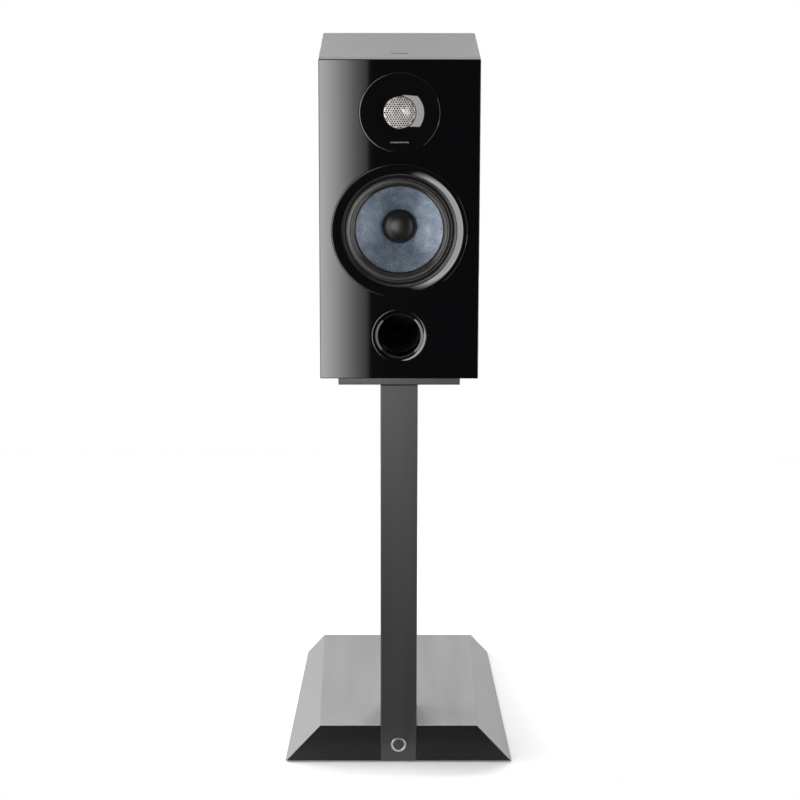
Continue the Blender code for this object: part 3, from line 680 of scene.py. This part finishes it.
def tweeter():
    """Face plate with its polished horn, the guard, and the inverted dome on its surround."""
    place = facing_front(TWEETER)
    plate = [(52.8, -4.6), (52.8, 0)] + arc((51.6, 0), (1.2, 0.99), 0, 90, 5)[1:]
    plate += [(51.4, 0.987), (51.1, 0.984), (32.0, 0.757), (31.72, 0.755)]
    plate += [(radius, dish_height(radius)) for radius in np.linspace(31.7, 21.9, 24)]
    plate += [(21.6, -1.5), (21.6, -2.7), (20.2, -2.7), (20.2, -8.9), (37.2, -8.9), (37.2, -4.6)]
    face = turned(plate)
    piece("tweeter_plate", face, "trim_black", replaces=["tweeter_faceplate"], where=place, crease=25)
    mesh_guard(place)

    bottom, rise, edge, foil = -12.7, 3.3, 12.4, 0.35
    bowl = [(0, bottom)]
    bowl += [(radius, bottom + rise * (radius / edge) ** 2) for radius in np.linspace(1.5, edge, 10)]
    bowl += [(13, -9.3)]
    back = [(radius, height - foil) for radius, height in reversed(bowl)]
    dome = turned(bowl + back, MEDIUM, closed=False)
    piece("tweeter_bowl", dome, "dome_alloy", "tweeter_diaphragm", ["tweeter_dome"], where=place, crease=40)

    front = [(13.3, -9.2)] + arc((15.7, -9.4), (1.9, 1.1), 170, 10, 12) + [(17.9, -9.8), (20.7, -9.9)]
    thickness = 0.5
    rear = [(radius, height - thickness) for radius, height in reversed(front)]
    bend = turned(front + rear, MEDIUM)
    ring = piece("tweeter_roll", bend, "rubber", None, ["tweeter_surround"], where=place, crease=50)
    bends_across(ring, TWEETER, 13.4, 20)


# ---------------------------------------------------------------- port


def port():
    """The moulded flare, with its outer lip, and the tube behind it."""
    place = facing_front(PORT)
    flare = [(36.4, -3.6), (36.4, 0.15)] + arc((35.9, 0.2), (0.5, 0.6), 0, 90, 5)[1:]
    flare += arc((35.6, -9.8), (10.6, 10.6), 90, 130, 24)[1:] + arc((29.6, -2.75), (1.4, 1.4), 132, 180, 8)
    flare += [(28.2, -23.9), (31, -23.9), (31, -3.6)]
    piece("port_mouth", turned(flare), "black_gloss", replaces=["port_flare"], where=place, crease=50)
    tube = [(34, -19.1), (34, -27), (30.8, -29), (30.8, -122)] + curve([(31.5, -126), (37, -132)], 6)
    tube += [(36.2, -132.8), (35, -132.6)] + curve([(30, -126.5), (28.2, -122)], 6)
    tube += [(28.2, -24.3), (31.9, -24.3), (31.9, -19.1)]
    piece("port_pipe", turned(tube, MEDIUM), "black_plastic", replaces=["port_tube"], where=place, crease=35)


# ---------------------------------------------------------------- terminals


def cross_recess(floor_height):
    """Cutters for the two slots of a cross-head screw, down to a height in mm above its seat."""
    slots = []
    reach, half_width, clear = 1.7 * MM, 0.35 * MM, 3 * MM
    for angle in (0, math.pi / 2):
        slot = block((-reach, -half_width, floor_height * MM), (reach, half_width, clear), 0.1 * MM, 1)
        bmesh.ops.rotate(slot, cent=(0, 0, 0), matrix=Matrix.Rotation(angle, 3, "Z"), verts=slot.verts)
        slots.append(slot)
    return slots


def cross_head_screw(name, node, turn):
    """A pan-head screw with a cross in its head, turned as the screwdriver left it."""
    centre = middle_of(node)
    seat = BACK_Y + 3.1 * MM
    place = facing_back(Vector((centre.x, seat, centre.z))) @ Matrix.Rotation(turn, 4, "Z")
    head = [(0, 1.8)] + arc((0, 0.4), (3.2, 1.4), 80, 0, 9) + [(3.2, 0), (1.5, 0), (1.5, -13.9), (0, -13.9)]
    screw = piece(name, turned(head, SMALL, closed=False), "steel", replaces=[node], where=place, crease=40)
    for slot in cross_recess(0.7):
        carve(screw, [slot], place)


def terminals():
    """The cup with its polarity signs, and the two posts with collars and ribbed knobs."""
    place = facing_back(TERMINALS)
    levels = [
        (84, 84, 3, -24),
        (84, 84, 3, 0.3),
        (96, 96, 6, 0.3),
        (96, 96, 6, 1.8),
        (95.2, 95.2, 5.8, 2.5),
        (94, 94, 5.4, 2.8),
        (77.4, 77.4, 6, 2.8),
        (76.2, 76.2, 5.5, 2.4),
        (75.6, 75.6, 5.2, 1.4),
        (73.4, 73.4, 5, -19),
        (72, 72, 4.6, -19.9),
        (70, 70, 4, -20),
    ]
    dish = rounded_levels(levels)
    cup = piece("terminal_recess", dish, "black_plastic", replaces=["terminal_cup"], where=place, crease=25)
    for word in ("red", "black"):
        post_x = middle_of(f"terminal_post_{word}").x
        hole = [(0, -10), (3.3, -10), (3.3, -30), (0, -30)]
        carve(cup, [turned(hole, SMALL, closed=False)], facing_back(Vector((post_x, BACK_Y, TERMINALS.z))))
        binding_post(word, post_x)
        sign(word, post_x)
    for number in range(1, 5):
        turn = 0.35 + 0.9 * number
        cross_head_screw(f"terminal_screw_head_{number}", f"terminal_screw_{number}", turn)


def sign(word, post_x):
    """A raised plus or minus sign on the cup's floor, above its post."""
    strokes = [((-3.2, -0.5), (3.2, 0.5))]
    if word == "red":
        strokes += [((-0.5, -3.2), (0.5, -0.5)), ((-0.5, 0.5), (0.5, 3.2))]
    cup_floor, above_post, raised = 20 * MM, 21 * MM, 0.5 * MM
    centre = Vector((post_x, BACK_Y - cup_floor, TERMINALS.z + above_post))
    look = "red_plastic" if word == "red" else "steel"
    for index, (low, high) in enumerate(strokes):
        stroke = block((low[0] * MM, low[1] * MM, 0), (high[0] * MM, high[1] * MM, raised), 0.08 * MM, 1)
        piece(f"sign_{word}_{index}", stroke, look, where=facing_back(centre))


def binding_post(word, post_x):
    """One post: gold stem with a round shoulder, clamping collar and a ribbed knob."""
    place = facing_back(Vector((post_x, BACK_Y, TERMINALS.z)))
    stem = [(0, -16), (2.1, -16), (2.1, -4.2), (2.3, -4), (2.8, -4), (3, -4.3), (3, -17.5)]
    stem += [(6.6, -17.5), (7, -17.8), (7, -19.7), (3, -19.7), (3, -31), (0, -31)]
    rod = turned(stem, SMALL, closed=False)
    piece(f"terminal_stem_{word}", rod, "brass", replaces=[f"terminal_post_{word}"], where=place)
    collar = [(7.7, -15.2), (8, -15.5), (8, -16.9), (7.7, -17.2), (3.4, -17.2), (3.4, -15.2)]
    piece(
        f"terminal_clamp_{word}",
        turned(collar, MEDIUM),
        "brass",
        f"collar_{word}",
        [f"terminal_collar_{word}"],
        where=place,
    )
    knob = [(2.3, -0.5), (2.6, 0), (6.6, 0), (7.5, -0.3), (8.2, -1.1), (8.4, -2), (8.4, -11.6), (8.1, -12.6)]
    knob += [(7.3, -13.0), (7.3, -14.9), (3.4, -14.9), (3.4, -3.4), (2.3, -3.4)]
    finish = "red_plastic" if word == "red" else "black_plastic"
    piece(
        f"terminal_cap_{word}",
        turned(knob, 144, flutes=18, flute_depth=0.7, fluted=(4, 5, 6, 7)),
        finish,
        f"knob_{word}",
        [f"terminal_knob_{word}"],
        where=place,
        crease=45,
    )


# ---------------------------------------------------------------- stand


def base_corners():
    """The foot's right side: the lower and upper corner at its front, then at its back."""
    half_front, half_back, half_ridge = 157, 138, 108.5
    top_front, top_back, underside = 55, 30, 2
    slope = (half_front - half_ridge) / (top_front - underside)
    low = BASE_LOW.z
    corners = []
    for along, half, top in ((BASE_LOW.y, half_front, top_front), (BASE_HIGH.y, half_back, top_back)):
        upper = half * MM - slope * (top * MM - low)
        corners.append(((half * MM, along, low), (upper, along, top * MM)))
    return corners


def foot_wedge():
    """The foot's wedge as a bmesh: sloping top and sides, with rounded edges."""
    bm = bmesh.new()
    sides = []
    for flip in (1, -1):
        side = []
        for lower, upper in base_corners():
            side.append([bm.verts.new((flip * x, y, z)) for x, y, z in (lower, upper)])
        sides.append(side)
    (right_front, right_back), (left_front, left_back) = sides
    bm.faces.new([right_front[0], right_front[1], left_front[1], left_front[0]])
    bm.faces.new([right_back[0], right_back[1], left_back[1], left_back[0]])
    bm.faces.new([right_front[1], right_back[1], left_back[1], left_front[1]])
    bm.faces.new([right_front[0], right_back[0], left_back[0], left_front[0]])
    bm.faces.new([right_front[0], right_front[1], right_back[1], right_back[0]])
    bm.faces.new([left_front[0], left_front[1], left_back[1], left_back[0]])
    bmesh.ops.recalc_face_normals(bm, faces=bm.faces)
    bmesh.ops.bevel(bm, geom=list(bm.edges), offset=0.8 * MM, segments=3, profile=0.5, affect="EDGES")
    return bm


def stand():
    """Top plate, column and wedge foot with rounded edges, and near-black faces on the foot's front that
    paint the shade on that face.
    """
    plate_low, plate_high = (Vector(corner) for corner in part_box("stand_top_plate"))
    plate_block = block(plate_low, plate_high, 0.9 * MM, 3)
    plate = piece("stand_plate", plate_block, "stand_black", replaces=["stand_top_plate"], crease=FLAT)
    crisp(plate)

    low, high = (Vector(corner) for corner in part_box("stand_column"))
    post_block = block(low, high, BOX_EDGE, 4)
    column = piece("stand_post", post_block, "stand_black", replaces=["stand_column"], crease=FLAT)
    wall, past, soft, sharp = 3 * MM, 10 * MM, 0.5 * MM, 0.1 * MM
    inside_low = (low.x + wall, low.y + wall, -past)
    inside_high = (high.x - wall, high.y - wall, high.z + past)
    carve(column, [block(inside_low, inside_high, soft, 1)])
    # Behind its front wall the column stands on the foot's floor, so it is cut off there
    skirt_low = (low.x - wall, low.y + wall, -past)
    skirt_high = (high.x + wall, high.y + wall, 8.3 * MM)
    carve(column, [block(skirt_low, skirt_high, soft, 1)])
    crisp(column)

    foot = piece("stand_foot_wedge", foot_wedge(), "stand_grey", replaces=["stand_base"], crease=FLAT)
    column_half = span_of("stand_column").x / 2 + 0.25 * MM
    front = BASE_LOW.y - past
    well = block((-column_half, front, 8 * MM), (column_half, high.y + 0.25 * MM, 90 * MM), sharp, 1)
    mouth_back = BASE_LOW.y + wall + 0.3 * MM
    mouth = block((-column_half, front, -past), (column_half, mouth_back, 60 * MM), sharp, 1)
    carve(foot, [well])
    carve(foot, [mouth])
    crisp(foot)
    foot_face(column_half)


def foot_face(column_half):
    """Near-black faces on the front of the foot, left and right of the column: painted shade that darkens
    the foot's grey front.
    """
    (lower, upper), _ = base_corners()
    inset = 0.9 * MM
    inner = column_half - 0.15 * MM
    proud, sunk = 0.12 * MM, 0.3 * MM
    for word, side in (("left", -1), ("right", 1)):
        outline = [
            (side * inner, lower[2] + inset),
            (side * (lower[0] - 2.6 * inset), lower[2] + inset),
            (side * (upper[0] - 0.5 * inset), upper[2] - inset),
            (side * inner, upper[2] - inset),
        ]
        bm = bmesh.new()
        near = [bm.verts.new((x, BASE_LOW.y - proud, z)) for x, z in outline]
        far = [bm.verts.new((x, BASE_LOW.y + sunk, z)) for x, z in outline]
        bm.faces.new(near)
        bm.faces.new(far)
        for index in range(4):
            after = (index + 1) % 4
            bm.faces.new((near[index], near[after], far[after], far[index]))
        # The near-black finish of these faces is painted shade on the foot's front
        piece(f"stand_foot_face_{word}", bm, "foot_front_painted_shade")


# ---------------------------------------------------------------- studio

CAMERA_DISTANCE = 3.4
CAMERA_HEIGHT = 1.4343
CAMERA_SIDE = -0.0111
CAMERA_TILT = 15.04
CAMERA_ROLL = 0.10
CAMERA_TURN = -0.2066
CAMERA_LENS = 118.96


def camera():
    """A long lens from above the speaker's height, tilted down and a little turned."""
    data = bpy.data.cameras.new("camera")
    data.lens = CAMERA_LENS
    data.sensor_width = 36
    data.clip_end = 50
    made = bpy.data.objects.new("camera", data)
    made.location = (CAMERA_SIDE, FRONT_Y - CAMERA_DISTANCE, CAMERA_HEIGHT)
    turn = Matrix.Rotation(math.radians(CAMERA_TURN), 3, "Z")
    tilt = Matrix.Rotation(math.radians(90 - CAMERA_TILT), 3, "X")
    roll = Matrix.Rotation(math.radians(CAMERA_ROLL), 3, "Z")
    made.rotation_euler = (turn @ tilt @ roll).to_euler()
    bpy.context.scene.collection.objects.link(made)
    bpy.context.scene.camera = made


def floor():
    """A plain pale floor. It stops a little in front of the speaker, so the gloss panel stays black."""
    mesh = bpy.data.meshes.new("floor")
    half_width, front, back = 1.3, BASE_LOW.y - 0.062, 1.3
    spots = ((-half_width, front), (half_width, front), (half_width, back), (-half_width, back))
    mesh.from_pydata([(*spot, 0) for spot in spots], [], [(0, 1, 2, 3)])
    made = bpy.data.objects.new("floor", mesh)
    bpy.context.scene.collection.objects.link(made)
    look = Nodes("floor_paper")
    look.set(Base_Color=(0.56, 0.56, 0.56, 1), Roughness=0.9, Specular_IOR_Level=0.0)
    look.set(Emission_Color=(1, 1, 1, 1), Emission_Strength=0.05)
    mesh.materials.append(look.material)


def area(name, size, place, target, power):
    """A soft rectangular light that aims at a point. The camera doesn't see it."""
    data = bpy.data.lights.new(name, "AREA")
    data.shape = "RECTANGLE"
    data.size, data.size_y = size
    data.energy = power
    made = bpy.data.objects.new(name, data)
    made.location = place
    made.rotation_euler = (Vector(target) - Vector(place)).to_track_quat("-Z", "Y").to_euler()
    made.visible_camera = False
    bpy.context.scene.collection.objects.link(made)
    return made


def card(name, corners, finish):
    """A glowing card that the camera doesn't see."""
    mesh = bpy.data.meshes.new(name)
    mesh.from_pydata(corners, [], [(0, 1, 2, 3)])
    made = bpy.data.objects.new(name, mesh)
    made.visible_camera = False
    bpy.context.scene.collection.objects.link(made)
    mesh.materials.append(finish)


def glow(name, strength, axis, start, end, stops):
    """Light that changes along one axis of a card, between two places on it."""
    look = Nodes(name)
    tree = look.tree
    tree.nodes.remove(look.shader)
    split = look.add("ShaderNodeSeparateXYZ")
    look.link(look.coords, split.inputs["Vector"])
    along = look.spread(split.outputs[axis], 0.0, 1.0, start, end)
    light = look.add("ShaderNodeEmission")
    light.inputs["Strength"].default_value = strength
    tones_along = [(place, (tone,) * 3) for place, tone in stops]
    look.link(look.ramp(along, tones_along), light.inputs["Color"])
    look.link(light.outputs["Emission"], tree.nodes["Material Output"].inputs["Surface"])
    return look.material


def softboxes():
    """A wide softbox at the left front with a sharp right edge, and a card at either side."""
    near = FRONT_Y - 2.0
    right, left, low, high = -0.0575, -1.4, -0.06, 1.06
    # Places from the right edge (0) to the left end (1), and how bright the softbox is there
    stops = [(0.0, 0.07), (0.0213, 0.218), (0.0396, 0.442), (0.058, 0.716), (0.0761, 0.98)]
    stops += [(0.114, 0.8), (0.38, 0.83), (0.7, 0.78), (1.0, 0.4)]
    finish = glow("softbox_front", 9.6, "X", right, left, stops)
    corners = [(left, near, low), (right, near, low), (right, near, high), (left, near, high)]
    card("softbox_front", corners, finish)
    # Each side card's place, strength, top, and tones at its near and far end
    sides = (("side_left", -0.95, 5.0, 1.3, (0.7, 1.0)), ("side_right", 1.1, 3.2, 1.15, (0.8, 1.0)))
    near, far, low = FRONT_Y - 1.2, FRONT_Y - 0.15, -0.9
    for name, side, strength, high, ends in sides:
        finish = glow(name, strength, "Y", near, far, [(0.0, ends[0]), (1.0, ends[1])])
        card(name, [(side, near, low), (side, far, low), (side, far, high), (side, near, high)], finish)


def world():
    """White to the camera. To the object it is bright behind and above, and dark in front."""
    made = bpy.data.worlds.new("studio")
    made.use_nodes = True
    tree = made.node_tree
    background = tree.nodes["Background"]
    coords = tree.nodes.new("ShaderNodeTexCoord")
    split = tree.nodes.new("ShaderNodeSeparateXYZ")
    tree.links.new(coords.outputs["Generated"], split.inputs["Vector"])
    share_of_height = 0.75
    reach = tree.nodes.new("ShaderNodeMath")
    reach.operation = "MULTIPLY_ADD"
    reach.inputs[1].default_value = share_of_height
    tree.links.new(split.outputs["Z"], reach.inputs[0])
    tree.links.new(split.outputs["Y"], reach.inputs[2])
    fade = tree.nodes.new("ShaderNodeMapRange")
    fade.interpolation_type = "SMOOTHSTEP"
    fade.inputs["From Min"].default_value, fade.inputs["From Max"].default_value = -0.55, 0.35
    fade.inputs["To Min"].default_value, fade.inputs["To Max"].default_value = 0.03, 0.74
    tree.links.new(reach.outputs["Value"], fade.inputs["Value"])
    path = tree.nodes.new("ShaderNodeLightPath")
    choose = tree.nodes.new("ShaderNodeMix")
    tree.links.new(path.outputs["Is Camera Ray"], choose.inputs["Factor"])
    tree.links.new(fade.outputs["Result"], choose.inputs["A"])
    choose.inputs["B"].default_value = 1.0
    tree.links.new(choose.outputs["Result"], background.inputs["Strength"])
    background.inputs["Color"].default_value = (1, 1, 1, 1)
    bpy.context.scene.world = made


def studio():
    """The white world, floor, cards, lights and camera."""
    scene = bpy.context.scene
    scene.view_settings.view_transform = "Standard"
    scene.view_settings.look = "None"
    world()
    floor()
    softboxes()
    middle, foot = (0, 0, 0.3), (0, 0, 0.05)
    area("overhead", (1.4, 1.4), (-1.3, 0.3, 2.1), middle, 20)
    area("key_left", (1.3, 0.5), (-1.5, 0.15, 0.8), foot, 25).visible_glossy = False
    area("key_right", (0.8, 0.3), (1.5, -0.1, 0.24), foot, 11)
    area("rear_left", (0.8, 0.8), (-0.7, 2.1, 2.5), middle, 42)
    area("rear_right", (0.8, 0.8), (0.7, 2.1, 2.5), middle, 36)
    area("front_fill", (1.2, 0.8), (0, FRONT_Y - 3.4, 1.5), middle, 6).visible_glossy = False
    camera()


dress_cad_nodes()
cabinet()
marks()
woofer()
tweeter()
port()
terminals()
stand()
studio()
